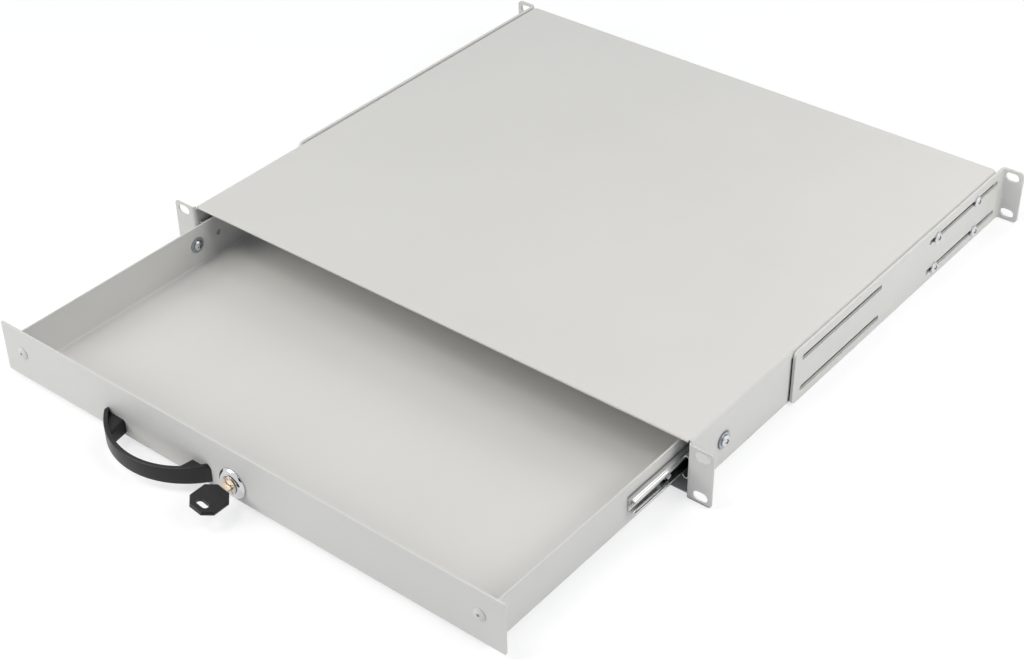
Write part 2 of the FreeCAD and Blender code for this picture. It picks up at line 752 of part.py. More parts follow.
def lock_cam():
    body = new_piece("lock_cam", ("0", panel_front, lock_z), "key_turn")
    tip = "(cam_tip_width / 2)"
    arm = [
        ("-cam_hub", f"-{tip}", "round", "cam_tip_corner"), ("0", f"-{tip}"),
        ("cam_reach", f"-{tip}", "round", "cam_tip_corner"), ("cam_reach", tip, "round", "cam_tip_corner"),
        ("0", tip), ("-cam_hub", tip, "round", "cam_tip_corner"),
    ]
    side = "(plug_square / 2 + plug_play)"
    square = box_outline(f"-{side}", side, f"-{side}", side)
    extrude(body, "arm", "XZ", cam_front, cam_back, [arm, square])


# Key: a cut blade that fills the keyway and goes on as a tang into an eight-sided plastic head.
def key():
    blade = new_piece("key_blade", ("0", panel_front, lock_z), "key_turn")
    edge = "(key_blade_width / 2)"
    tip = f"({plug_face} + key_blade_depth)"
    tang_end = f"({key_head_near} - key_tang)"
    shape = [(f"-{edge}", tang_end), (edge, tang_end), (edge, f"{tip} - {edge}")]
    shape += [("key_cut_depth / 2", tip), ("-key_cut_depth / 2", tip), (f"-{edge}", f"{tip} - {edge}")]
    for cut in range(KEY_CUTS):
        deep = f"({tip} - {edge} - {cut + 0.5} * key_cut_pitch)"
        shallow = f"({tip} - {edge} - {cut + 1} * key_cut_pitch)"
        shape += [(f"-{edge} + key_cut_depth", deep), (f"-{edge}", shallow)]
    extrude(blade, "profile", "XY", "(-key_blade_height / 2)", "(key_blade_height / 2)", [shape])
    head = new_piece("key_head", ("0", panel_front, lock_z), "key_turn")
    wide = "(key_head_width / 2)"
    flank = f"({wide} - key_head_corner)"
    near, far = f"({key_head_near} - key_head_corner)", f"({key_head_far} + key_head_corner)"
    octagon = [
        (f"-{flank}", key_head_far), (flank, key_head_far), (wide, far), (wide, near),
        (flank, key_head_near), (f"-{flank}", key_head_near), (f"-{wide}", near), (f"-{wide}", far),
    ]
    thick = "(key_head_height / 2)"
    extrude(head, "octagon", "XY", f"(-{thick})", thick, [octagon])
    on_rim = lambda rim: is_at(rim, "z", thick)
    dress(head, "PartDesign::Chamfer", "bevel", "Size", "key_head_bevel", on_rim)
    ring = slot_outline("0", f"({key_head_far} + key_hole_inset)", "key_hole_width", "key_hole_length")
    extrude(head, "ring_hole", "XY", f"(-{thick})", thick, [ring], cut=True)
    pocket = box_outline(
        f"-{edge}", edge, "-key_blade_height / 2", "key_blade_height / 2"
    )
    extrude(head, "tang_pocket", "XZ", tang_end, key_head_near, [pocket], cut=True)


# Ball slides. Across a slide, "in" is the distance from the cabinet side and "up" the height above
# the middle of the slide.
def across(sign, inward, upward):
    return f"{sign} * ({inside} - {inward})", f"({slide_z} + {upward})"


def slide_outer(side, sign):
    body = new_piece(f"slide_outer_{side}")
    left, right = ("left", "right") if sign > 0 else ("right", "left")
    skin = f"({raceway} + slide_sheet)"
    far = f"({ball_in} + {skin})"
    lip = f"({ball_in} + {raceway})"
    shape = [
        across(sign, "0", f"-{ball_up}"),
        (*across(sign, "0", ball_up), left, skin),
        (*across(sign, ball_in, f"({ball_up} + {skin})"), left, skin),
        across(sign, far, ball_up),
        (*across(sign, lip, ball_up), right, raceway),
        (*across(sign, ball_in, f"({ball_up} + {raceway})"), right, raceway),
        across(sign, "slide_sheet", ball_up),
        (*across(sign, "slide_sheet", f"-{ball_up}"), right, raceway),
        (*across(sign, ball_in, f"(-{ball_up} - {raceway})"), right, raceway),
        across(sign, lip, f"-{ball_up}"),
        (*across(sign, far, f"-{ball_up}"), left, skin),
        (*across(sign, ball_in, f"(-{ball_up} - {skin})"), left, skin),
    ]
    extrude(body, "rail", "XZ", outer_front, f"({outer_front} + slide_length)", [shape])
    holes = [(f"({outer_front} + {step})", slide_z, thread_hole) for step in screw_steps]
    extrude(body, "holes", "YZ", f"(-{half})", half, circles=holes, cut=True)


def slide_inner(side, sign):
    body = new_piece(f"slide_inner_{side}")
    left, right = ("left", "right") if sign > 0 else ("right", "left")
    skin = f"({raceway} + slide_sheet)"
    face = "(inner_height / 2)"
    under = f"({face} - slide_sheet)"
    web = "(slide_thickness - slide_sheet)"
    tip = "(slide_sheet + cage_sheet + 2 * cage_play)"
    groove = f"({ball_in} + sqrt({raceway} ^ 2 - ({ball_up} - {face}) ^ 2))"
    bulge = f"({ball_in} + sqrt({skin} ^ 2 - ({ball_up} - {under}) ^ 2))"
    tip_face = f"({ball_up} - sqrt({raceway} ^ 2 - ({ball_in} - {tip}) ^ 2))"
    tip_under = f"({ball_up} - sqrt({skin} ^ 2 - ({ball_in} - {tip}) ^ 2))"
    fold = "(inner_bend + slide_sheet)"
    shape = [
        (*across(sign, "slide_thickness", f"-{face}"), "round", fold),
        (*across(sign, "slide_thickness", face), "round", fold),
        (*across(sign, groove, face), left, raceway),
        across(sign, tip, tip_face),
        (*across(sign, tip, tip_under), right, skin),
        across(sign, bulge, under),
        (*across(sign, web, under), "round", "inner_bend"),
        (*across(sign, web, f"-{under}"), "round", "inner_bend"),
        (*across(sign, bulge, f"-{under}"), right, skin),
        across(sign, tip, f"-{tip_under}"),
        (*across(sign, tip, f"-{tip_face}"), left, raceway),
        across(sign, groove, f"-{face}"),
    ]
    extrude(body, "rail", "XZ", inner_front, f"({inner_front} + slide_length)", [shape])
    crest = f"{sign} * ({inside} - {web} + bead_height)"
    root = f"{sign} * ({inside} - {web})"
    near, far = (root, crest) if sign > 0 else (crest, root)
    bead_middle = f"({inner_front} + bead_lead + bead_length / 2)"
    extrude(body, "bead", "YZ", near, far, [slot_outline(bead_middle, slide_z, "bead_length", "bead_width")])
    holes = [(f"({inner_front} + {step})", slide_z, loose_hole) for step in screw_steps]
    extrude(body, "holes", "YZ", f"(-{half})", half, circles=holes, cut=True)


def ball_places():
    first = f"({cage_middle} - {(BALLS_PER_ROW - 1) / 2} * ball_pitch)"
    return [f"({first} + {step} * ball_pitch)" for step in range(BALLS_PER_ROW)]


# Ball cage: a strip along the outer web with arms between the balls of both rows.
def ball_cage(side, sign):
    body = new_piece(f"ball_cage_{side}")
    web_out = "(slide_sheet + cage_play)"
    web_in = f"({web_out} + cage_sheet)"
    arm_tip = f"({ball_in} + {raceway} - 2 * cage_play)"
    crest = f"({ball_up} + cage_arm_height / 2)"
    belly = f"({ball_up} - cage_arm_height / 2)"
    shape = [
        across(sign, web_out, f"-{crest}"), across(sign, web_out, crest), across(sign, arm_tip, crest),
        across(sign, arm_tip, belly), across(sign, web_in, belly), across(sign, web_in, f"-{belly}"),
        across(sign, arm_tip, f"-{belly}"), across(sign, arm_tip, f"-{crest}"),
    ]
    extrude(body, "strip", "XZ", cage_front, f"({cage_front} + cage_length)", [shape])
    pocket_radius = "(ball_diameter / 2 + ball_play)"
    for name, level in (("upper", 1), ("lower", -1)):
        middle = f"({slide_z} + {level} * {ball_up})"
        rounds = [(across(sign, ball_in, "0")[0], y, pocket_radius) for y in ball_places()]
        extrude(body, f"{name}_pockets", "XY", f"({middle} - {raceway})", f"({middle} + {raceway})",
                circles=rounds, cut=True)


def cage_balls(side, sign, ball):
    places = []
    for y in ball_places():
        for level in (-1, 1):
            x, z = across(sign, ball_in, f"{level} * {ball_up}")
            places.append((x, y, z, (0, 0, 1)))
    group(f"cage_balls_{side}", ball, places)


# Rear bracket: a slotted plate with an ear turned outward at the rear rack posts.
def rear_bracket(side, sign):
    body = new_piece(f"rear_bracket_{side}")
    reach = f"({rear} + bracket_past_{side})"
    nose = f"({reach} - bracket_length)"
    outer_fold = "(bracket_bend + bracket_sheet)"
    plan = [
        (f"{sign} * {bracket_in}", nose), (f"{sign} * {bracket_out}", nose),
        (f"{sign} * {bracket_out}", reach, "round", "bracket_bend"), (f"{sign} * rack_width / 2", reach),
        (f"{sign} * rack_width / 2", f"({reach} + bracket_sheet)"),
        (f"{sign} * {bracket_in}", f"({reach} + bracket_sheet)", "round", outer_fold),
    ]
    extrude(body, "plate", "XY", "(-bracket_height / 2)", "(bracket_height / 2)", [plan])
    at_nose = lambda edge: runs_along(edge, "X") and is_at(edge, "y", nose)
    round_edges(body, "nose_corners", "bracket_corner", at_nose)
    at_ear_tip = lambda edge: runs_along(edge, "Y") and is_at(edge, "x", "rack_width / 2")
    round_edges(body, "ear_corners", "ear_corner", at_ear_tip)
    slots = []
    for height in slot_heights:
        for start in (f"({nose} + bracket_slot_lead)",
                      f"({reach} - bracket_slot_tail - bracket_slot_length)"):
            slots.append(slot_outline(
                f"({start} + bracket_slot_length / 2)", height, "bracket_slot_length", "bracket_slot_width"
            ))
    near, far = (bracket_in, bracket_out) if sign > 0 else (f"(-{bracket_out})", f"(-{bracket_in})")
    extrude(body, "slots", "YZ", near, far, slots, cut=True)
    ear_slots = []
    for level in (-1, 1):
        ear_slots.append(slot_outline(
            f"{sign} * {rack_hole_x}", f"{level} * rack_hole_pitch / 2",
            "rack_slot_length", "rack_slot_height",
        ))
    extrude(body, "ear_slots", "XZ", reach, f"({reach} + bracket_sheet)", ear_slots, cut=True)


# Fasteners stand on their seat at Z = 0, with the head above it and the thread below.
def pan_screw(name, length):
    body = new_body(name)
    thread, rim = "(thread_diameter / 2)", "(head_diameter / 2)"
    crown = f"(({rim} ^ 2 + (head_height - head_rim) ^ 2) / (2 * (head_height - head_rim)))"
    shape = [
        ("0", f"(-{length})"), (thread, f"(-{length})"), (thread, "0"), (rim, "0"),
        (rim, "head_rim", "left", crown), ("0", "head_height"),
    ]
    revolve(body, "turned", "XZ", shape)
    wide, slim = "(recess_span / 2)", "(recess_width / 2)"
    cross = [
        (wide, f"-{slim}"), (wide, slim), (slim, slim), (slim, wide), (f"-{slim}", wide), (f"-{slim}", slim),
        (f"-{wide}", slim), (f"-{wide}", f"-{slim}"), (f"-{slim}", f"-{slim}"), (f"-{slim}", f"-{wide}"),
        (slim, f"-{wide}"), (slim, f"-{slim}"),
    ]
    extrude(body, "recess", "XY", "(head_height - recess_depth)", "head_height", [cross], cut=True)
    return body


def low_screw(name, length):
    body = new_body(name)
    thread, rim = "(thread_diameter / 2)", "(low_head_diameter / 2)"
    rise = "(low_head_height - low_head_rim)"
    crown = f"(({rim} ^ 2 + {rise} ^ 2) / (2 * {rise}))"
    shape = [
        ("0", f"(-{length})"), (thread, f"(-{length})"), (thread, "0"), (rim, "0"),
        (rim, "low_head_rim", "left", crown), ("0", "low_head_height"),
    ]
    revolve(body, "turned", "XZ", shape)
    socket = hexagon_outline("0", "0", "socket_across")
    extrude(body, "socket", "XY", "(low_head_height - socket_depth)", "low_head_height", [socket], cut=True)
    return body


def flat_rivet(name, length):
    body = new_body(name)
    shank, rim = "(thread_diameter / 2)", "(flat_head_diameter / 2)"
    shape = [
        ("0", f"(-{length})"), (shank, f"(-{length})"), (shank, "0"), (rim, "0"),
        (rim, "flat_head_height"), ("0", "flat_head_height"),
    ]
    revolve(body, "turned", "XZ", shape)
    return body


def round_ring(name, diameter, height, bore):
    body = new_body(name)
    rings = [("0", "0", f"{diameter} / 2"), ("0", "0", bore)]
    extrude(body, "ring", "XY", "0", height, circles=rings)
    return body


def nut(name):
    body = new_body(name)
    ring = hexagon_outline("0", "0", "nut_across")
    extrude(body, "ring", "XY", "0", "nut_height", [ring], [("0", "0", thread_hole)])
    return body


# Blind rivet nut: a thin flange outside the sheet, and a threaded sleeve bulged out behind it.
def rivet_nut(name):
    body = new_body(name)
    sleeve = "(rivet_diameter / 2)"
    bulge_end = "(-wall - rivet_bulge_height)"
    shape = [
        (thread_hole, "(-wall - rivet_length)"), (sleeve, "(-wall - rivet_length)"), (sleeve, bulge_end),
        ("rivet_bulge_diameter / 2", f"{bulge_end} + wall / 2"), ("rivet_bulge_diameter / 2", "(-wall)"),
        (sleeve, "(-wall)"), (sleeve, "0"), ("rivet_flange_diameter / 2", "0"),
        ("rivet_flange_diameter / 2", "rivet_flange_height"), (thread_hole, "rivet_flange_height"),
    ]
    revolve(body, "sleeve", "XZ", shape)
    return body


def steel_ball(name):
    body = new_body(name)
    radius = "(ball_diameter / 2)"
    shape = [("0", f"-{radius}", "left", radius), (radius, "0", "left", radius), ("0", radius)]
    revolve(body, "ball", "XZ", shape)
    return body


def fasteners():
    grip = "(wall + slide_sheet)"
    side_screw = pan_screw("side_screw", f"(washer_height + {grip})")
    side_rivet = flat_rivet("side_rivet", grip)
    big_washer = round_ring("big_washer", "washer_diameter", "washer_height", loose_hole)
    outward = [(sign, (sign, 0, 0)) for side, sign in SIDES]
    front_y, rear_y = [f"({outer_front} + {step})" for step in screw_steps]
    seats = [(f"{sign} * {half}", front_y, slide_z, aim) for sign, aim in outward]
    heads = [(f"{sign} * ({half} + washer_height)", front_y, slide_z, aim) for sign, aim in outward]
    flush = [(f"{sign} * {half}", rear_y, slide_z, aim) for sign, aim in outward]
    group("cabinet_slide_washers", big_washer, seats)
    group("cabinet_slide_screws", side_screw, heads)
    group("cabinet_slide_rivets", side_rivet, flush)

    tray_grip = "(washer_height + tray_sheet + slide_sheet + clinch_nut_height + tray_screw_tail)"
    tray_screw = pan_screw("tray_screw", tray_grip)
    clinch_nut = round_ring("clinch_nut", "clinch_nut_diameter", "clinch_nut_height", thread_hole)
    inward = [(sign, (-sign, 0, 0)) for side, sign in SIDES]
    spots = [(sign, aim, f"({inner_front} + {step})") for sign, aim in inward for step in screw_steps]
    seats = [(f"{sign} * {tray_inner}", y, slide_z, aim) for sign, aim, y in spots]
    heads = [(f"{sign} * ({tray_inner} - washer_height)", y, slide_z, aim) for sign, aim, y in spots]
    ends = [(f"{sign} * ({tray_half} + slide_sheet)", y, slide_z, (sign, 0, 0)) for sign, aim, y in spots]
    group("tray_slide_washers", big_washer, seats)
    group("tray_slide_screws", tray_screw, heads)
    group("tray_slide_nuts", clinch_nut, ends)

    bracket_screw = pan_screw("bracket_screw", f"({bracket_head} - {inside} + rivet_length - wall)")
    sleeve = rivet_nut("rivet_nut")
    rivets = []
    screws = []
    for sign, aim in outward:
        for y in rivet_places:
            for z in slot_heights:
                rivets.append((f"{sign} * {half}", y, z, aim))
                screws.append((f"{sign} * {bracket_head}", y, z, aim))
    group("rivet_nuts", sleeve, rivets)
    group("bracket_screws", bracket_screw, screws)

    panel_screw = low_screw("panel_screw", f"({panel_stack} + nut_height + thread_end)")
    plain_nut = nut("plain_nut")
    spots = [f"{sign} * {panel_screw_x}" for side, sign in SIDES]
    group("panel_screws", panel_screw, [(x, panel_front, panel_screw_z, (0, -1, 0)) for x in spots])
    group("panel_nuts", plain_nut, [(x, tray_wall_back, panel_screw_z, (0, 1, 0)) for x in spots])

    reach = f"({panel_stack} + small_washer_height + handle_bore_depth - thread_end)"
    handle_screw = pan_screw("handle_screw", reach)
    small_washer = round_ring("small_washer", "small_washer_diameter", "small_washer_height", loose_hole)
    spots = handle_screw_places()
    head_y = f"({tray_wall_back} + small_washer_height)"
    group("handle_washers", small_washer, [(x, tray_wall_back, handle_z, (0, 1, 0)) for x in spots])
    group("handle_screws", handle_screw, [(x, head_y, handle_z, (0, 1, 0)) for x in spots])

    cam_screw = pan_screw("cam_screw_pattern", "cam_screw_length")
    group("cam_screw", cam_screw, [("0", f"({panel_front} + {cam_back})", lock_z, (0, 1, 0))])


cabinet_shell()
lock_strike()
tray()
front_panel()
handle()
lock_housing()
lock_nut()
lock_plug()
lock_cam()
key()
slide_ball = steel_ball("slide_ball")
for side, sign in SIDES:
    slide_outer(side, sign)
    slide_inner(side, sign)
    ball_cage(side, sign)
    cage_balls(side, sign, slide_ball)
    rear_bracket(side, sign)
fasteners()
doc.recompute()

for item in doc.Objects:
    if "Invalid" in item.State or "Error" in item.State:
        raise RuntimeError(f"{item.Label} failed: {item.getStatusString()}")
for piece in pieces:
    if piece.Shape.isNull() or not piece.Shape.isValid():
        raise RuntimeError(f"{piece.Label} has no valid shape")

os.makedirs("parts", exist_ok=True)
for piece in pieces:
    piece.Shape.exportStep(f"parts/{piece.Label}.step")
    box = piece.Shape.BoundBox
    print(f"{piece.Label}: {len(piece.Shape.Solids)} solids, {piece.Shape.Volume:.0f} mm3, "
          f"X {box.XMin:.1f} to {box.XMax:.1f}, Y {box.YMin:.1f} to {box.YMax:.1f}, "
          f"Z {box.ZMin:.1f} to {box.ZMax:.1f}")
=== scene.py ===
import math

import bpy
from mathutils import Matrix, Vector


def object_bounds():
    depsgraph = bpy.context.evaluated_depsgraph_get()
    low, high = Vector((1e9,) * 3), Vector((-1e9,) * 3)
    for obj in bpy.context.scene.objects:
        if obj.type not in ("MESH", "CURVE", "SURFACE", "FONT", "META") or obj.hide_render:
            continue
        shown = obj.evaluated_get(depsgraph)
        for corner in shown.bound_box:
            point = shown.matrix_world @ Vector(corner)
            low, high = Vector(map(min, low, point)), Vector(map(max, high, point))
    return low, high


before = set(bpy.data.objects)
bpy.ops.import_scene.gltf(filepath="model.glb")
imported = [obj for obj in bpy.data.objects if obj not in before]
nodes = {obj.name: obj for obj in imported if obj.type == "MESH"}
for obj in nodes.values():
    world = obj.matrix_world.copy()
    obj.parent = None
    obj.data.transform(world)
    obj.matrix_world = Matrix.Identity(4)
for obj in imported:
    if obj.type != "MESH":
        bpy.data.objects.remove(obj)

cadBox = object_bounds()
mm = 0.001
print("frame loaded:", len(nodes), "CAD nodes")


# a link's source is a socket or a plain value, for an input given by name or number
def setInput(tree, node, socket, source):
    if hasattr(source, "is_output"):
        tree.links.new(source, node.inputs[socket])
    else:
        node.inputs[socket].default_value = source


def addNode(tree, kind, links=(), **values):
    node = tree.nodes.new(kind)
    for name, value in values.items():
        setattr(node, name, value)
    for socket, source in dict(links).items():
        setInput(tree, node, socket, source)
    return node


def newGroup(name, kind, inputs, outputs):
    tree = bpy.data.node_groups.new(name, kind)
    for socketName, socketType, value in inputs:
        socket = tree.interface.new_socket(socketName, in_out="INPUT", socket_type=socketType)
        if value is not None:
            socket.default_value = value
    for socketName, socketType in outputs:
        tree.interface.new_socket(socketName, in_out="OUTPUT", socket_type=socketType)
    return tree, tree.nodes.new("NodeGroupInput"), tree.nodes.new("NodeGroupOutput")


def noise(tree, vector, scale, detail, rough=0.5):
    links = {"Vector": vector, "Scale": scale, "Detail": detail, "Roughness": rough}
    return addNode(tree, "ShaderNodeTexNoise", links).outputs["Fac"]


def mathNode(tree, operation, *values, clamp=False):
    links = dict(enumerate(values))
    return addNode(tree, "ShaderNodeMath", links, operation=operation, use_clamp=clamp).outputs[0]


def mapRange(tree, value, fromSpan, toSpan=(0.0, 1.0)):
    links = {"Value": value, "From Min": fromSpan[0], "From Max": fromSpan[1], "To Min": toSpan[0], "To Max": toSpan[1]}
    return addNode(tree, "ShaderNodeMapRange", links).outputs["Result"]


def objectPlace(tree):
    return addNode(tree, "ShaderNodeTexCoord").outputs["Object"]


def splitAxes(tree, vector):
    return addNode(tree, "ShaderNodeSeparateXYZ", {0: vector}).outputs


# fine grain for the height of a coating or moulding, with a slow drift of tone
grainNoise = {"fineDetail": 2.0, "grainRough": 0.6, "driftDetail": 4.0, "driftRough": 0.55,
              "driftSpan": (0.3, 0.7), "driftTone": (0.1, 0.9), "speckSpan": (0.35, 0.65), "speckTone": (-0.12, 0.12)}


def buildSurfaceGrain():
    inputs = [("Grain Scale", "NodeSocketFloat", 1500.0), ("Ripple Scale", "NodeSocketFloat", 300.0),
              ("Ripple Share", "NodeSocketFloat", 0.5), ("Drift Scale", "NodeSocketFloat", 9.0)]
    outputs = [("Height", "NodeSocketFloat"), ("Tone", "NodeSocketFloat")]
    tree, given, result = newGroup("surfaceGrain", "ShaderNodeTree", inputs, outputs)
    place = objectPlace(tree)
    grain = noise(tree, place, given.outputs["Grain Scale"], grainNoise["fineDetail"], grainNoise["grainRough"])
    ripple = noise(tree, place, given.outputs["Ripple Scale"], grainNoise["fineDetail"])
    blend = addNode(tree, "ShaderNodeMix", {"Factor": given.outputs["Ripple Share"], "A": grain, "B": ripple})
    drift = noise(tree, place, given.outputs["Drift Scale"], grainNoise["driftDetail"], grainNoise["driftRough"])
    speck = mapRange(tree, grain, grainNoise["speckSpan"], grainNoise["speckTone"])
    slow = mapRange(tree, drift, grainNoise["driftSpan"], grainNoise["driftTone"])
    tree.links.new(blend.outputs["Result"], result.inputs["Height"])
    tree.links.new(mathNode(tree, "ADD", slow, speck, clamp=True), result.inputs["Tone"])
    return tree


# mask along outer edges, broken up by noise, for a painted highlight
highlightNoise = {"detail": 4.0, "rough": 0.6, "span": (0.35, 0.65), "patches": (0.2, 1.0)}


def buildEdgeHighlight():
    inputs = [("Start", "NodeSocketFloat", 0.51), ("End", "NodeSocketFloat", 0.6),
              ("Breakup Scale", "NodeSocketFloat", 120.0)]
    tree, given, result = newGroup("edgeHighlight", "ShaderNodeTree", inputs, [("Mask", "NodeSocketFloat")])
    point = addNode(tree, "ShaderNodeNewGeometry").outputs["Pointiness"]
    edge = mapRange(tree, point, (given.outputs["Start"], given.outputs["End"]))
    broken = noise(tree, objectPlace(tree), given.outputs["Breakup Scale"], highlightNoise["detail"], highlightNoise["rough"])
    patches = mapRange(tree, broken, highlightNoise["span"], highlightNoise["patches"])
    tree.links.new(mathNode(tree, "MULTIPLY", edge, patches, clamp=True), result.inputs["Mask"])
    return tree


# thin dust on faces that look up
dustNoise = {"upward": (0.4, 1.0), "patchDetail": 5.0, "patchRough": 0.6, "patchSpan": (0.4, 0.7), "speckDetail": 2.0,
             "speckSpan": (0.5, 0.75), "specks": (0.3, 1.0)}


def buildDustFilm():
    inputs = [("Patch Scale", "NodeSocketFloat", 18.0), ("Speck Scale", "NodeSocketFloat", 700.0)]
    tree, given, result = newGroup("dustFilm", "ShaderNodeTree", inputs, [("Mask", "NodeSocketFloat")])
    place = objectPlace(tree)
    normal = addNode(tree, "ShaderNodeNewGeometry").outputs["Normal"]
    upward = mapRange(tree, splitAxes(tree, normal)["Z"], dustNoise["upward"])
    patch = noise(tree, place, given.outputs["Patch Scale"], dustNoise["patchDetail"], dustNoise["patchRough"])
    patch = mapRange(tree, patch, dustNoise["patchSpan"])
    speck = noise(tree, place, given.outputs["Speck Scale"], dustNoise["speckDetail"])
    speck = mapRange(tree, speck, dustNoise["speckSpan"], dustNoise["specks"])
    mask = mathNode(tree, "MULTIPLY", mathNode(tree, "MULTIPLY", upward, patch), speck, clamp=True)
    tree.links.new(mask, result.inputs["Mask"])
    return tree


# long rolling or brush marks along one direction of the metal
brushNoise = {"detail": 3.0, "marksRough": 0.6, "cloudShare": 0.5, "toneSpan": (0.3, 0.7)}


def buildBrushMarks():
    inputs = [("Stretch", "NodeSocketVector", (900.0, 25.0, 900.0)), ("Cloud Scale", "NodeSocketFloat", 60.0)]
    outputs = [("Height", "NodeSocketFloat"), ("Tone", "NodeSocketFloat")]
    tree, given, result = newGroup("brushMarks", "ShaderNodeTree", inputs, outputs)
    place = objectPlace(tree)
    drawn = addNode(tree, "ShaderNodeVectorMath", {0: place, 1: given.outputs["Stretch"]}, operation="MULTIPLY")
    marks = noise(tree, drawn.outputs["Vector"], 1.0, brushNoise["detail"], brushNoise["marksRough"])
    cloud = noise(tree, place, given.outputs["Cloud Scale"], brushNoise["detail"])
    tone = addNode(tree, "ShaderNodeMix", {"Factor": brushNoise["cloudShare"], "A": marks, "B": cloud})
    tree.links.new(marks, result.inputs["Height"])
    tree.links.new(mapRange(tree, tone.outputs["Result"], brushNoise["toneSpan"]), result.inputs["Tone"])
    return tree


# mask where faces meet closely, as in corners, round heads and under washers, for painted shade
creviceSamples = 8


def buildCreviceShade():
    inputs = [("Reach", "NodeSocketFloat", 0.0012), ("Open", "NodeSocketFloat", 0.95),
              ("Closed", "NodeSocketFloat", 0.45)]
    tree, given, result = newGroup("creviceShade", "ShaderNodeTree", inputs, [("Mask", "NodeSocketFloat")])
    links = {"Distance": given.outputs["Reach"]}
    near = addNode(tree, "ShaderNodeAmbientOcclusion", links, samples=creviceSamples).outputs["AO"]
    mask = mapRange(tree, near, (given.outputs["Open"], given.outputs["Closed"]))
    tree.links.new(mask, result.inputs["Mask"])
    return tree


surfaceGrain = buildSurfaceGrain()
# mask for a painted highlight along outer edges
edgeHighlight = buildEdgeHighlight()
dustFilm = buildDustFilm()
# mask for painted shade in corners and recesses
creviceShade = buildCreviceShade()
brushMarks = buildBrushMarks()
print("shader groups built")


def useGroup(tree, group, values):
    return addNode(tree, "ShaderNodeGroup", values, node_tree=group).outputs


# the Mix node's own numbers for its colour sockets
colourSockets = {"factor": 0, "low": 6, "high": 7, "result": 2}


def mixColour(tree, factor, low, high):
    node = addNode(tree, "ShaderNodeMix", data_type="RGBA")
    setInput(tree, node, colourSockets["factor"], factor)
    for name, colour in (("low", low), ("high", high)):
        setInput(tree, node, colourSockets[name], (*colour, 1.0) if isinstance(colour, tuple) else colour)
    return node.outputs[colourSockets["result"]]


def layerMask(tree, group, layer):
    return mathNode(tree, "MULTIPLY", useGroup(tree, group, layer["values"])["Mask"], layer["amount"])


# 1 on the outside of the side walls and below the fold over them, where the cabinet's painted shade falls; mm from the
# middle
def zoneMask(tree, zone):
    place = splitAxes(tree, objectPlace(tree))
    low = mathNode(tree, "LESS_THAN", place["Z"], zone["top"] * mm)
    side = mathNode(tree, "ABSOLUTE", place["X"])
    return mathNode(tree, "MULTIPLY", low, mathNode(tree, "GREATER_THAN", side, zone["side"] * mm))


# the group puts out Height and Tone; the look's own numbers turn them into colour, roughness and bump
def finishMaterial(name, look, group, values):
    material = bpy.data.materials.new(name)
    material.use_nodes = True
    tree = material.node_tree
    shader = tree.nodes["Principled BSDF"]
    texture = useGroup(tree, group, values)
    colour = mixColour(tree, texture["Tone"], look["dark"], look["light"])
    rough = mapRange(tree, texture["Tone"], (0.0, 1.0), look["roughness"])
    # painted highlight: lighter colour along outer edges
    if "paintedHighlight" in look:
        colour = mixColour(tree, layerMask(tree, edgeHighlight, look["paintedHighlight"]), colour, look["paintedHighlight"]["colour"])
    if "dust" in look:
        dusty = layerMask(tree, dustFilm, look["dust"])
        colour = mixColour(tree, dusty, colour, look["dust"]["colour"])
        rough = mathNode(tree, "ADD", rough, mathNode(tree, "MULTIPLY", dusty, look["dust"]["roughness"]), clamp=True)
    # painted shade: darker colour in corners, recesses and where parts meet
    if "paintedShade" in look:
        shadeMask = layerMask(tree, creviceShade, look["paintedShade"])
        if "zone" in look["paintedShade"]:
            shadeMask = mathNode(tree, "MULTIPLY", shadeMask, zoneMask(tree, look["paintedShade"]["zone"]))
        colour = mixColour(tree, shadeMask, colour, look["paintedShade"]["colour"])
    links = {"Height": texture["Height"], "Distance": look["bump"] * mm, "Strength": 1.0}
    bump = addNode(tree, "ShaderNodeBump", links)
    tree.links.new(colour, shader.inputs["Base Color"])
    tree.links.new(rough, shader.inputs["Roughness"])
    tree.links.new(bump.outputs["Normal"], shader.inputs["Normal"])
    shader.inputs["Metallic"].default_value = look["metallic"]
    shader.inputs["Specular IOR Level"].default_value = look["specular"]
    return material


# light grey coat; bump is in mm; its edges get a painted highlight and its corners and seams a painted shade
coatLook = {"dark": (0.652, 0.65, 0.637), "light": (0.682, 0.68, 0.667), "roughness": (0.4, 0.5), "bump": 0.02,
            "metallic": 0.0, "specular": 0.4,
            "paintedHighlight": {"values": {"Start": 0.52, "End": 0.62, "Breakup Scale": 90.0}, "amount": 0.1,
                     "colour": (0.76, 0.76, 0.74)},
            "dust": {"values": {"Patch Scale": 14.0, "Speck Scale": 900.0}, "amount": 0.08, "roughness": 0.3,
                     "colour": (0.6, 0.59, 0.56)},
            "paintedShade": {"values": {"Reach": 0.9 * mm, "Open": 0.6, "Closed": 0.25}, "amount": 0.55,
                     "colour": (0.12, 0.12, 0.12)}}
coatGrain = {"Grain Scale": 1600.0, "Ripple Scale": 420.0, "Ripple Share": 0.55, "Drift Scale": 8.0}
powderCoat = finishMaterial("powderCoat", coatLook, surfaceGrain, coatGrain)

# the cabinet's coat gets a strong painted shade low on the outside of its side walls, so it darkens behind the bracket
# slots, and the brackets' own coat has no painted shade
shellLook = {**coatLook, "paintedShade": {"values": {"Reach": 3.0 * mm, "Open": 0.96, "Closed": 0.62}, "amount": 0.95,
                                  "zone": {"top": 17.0, "side": 222.0}, "colour": (0.05, 0.05, 0.06)}}
shellCoat = finishMaterial("shellCoat", shellLook, surfaceGrain, coatGrain)
bracketLook = {key: value for key, value in coatLook.items() if key != "paintedShade"}
bracketCoat = finishMaterial("bracketCoat", bracketLook, surfaceGrain, coatGrain)

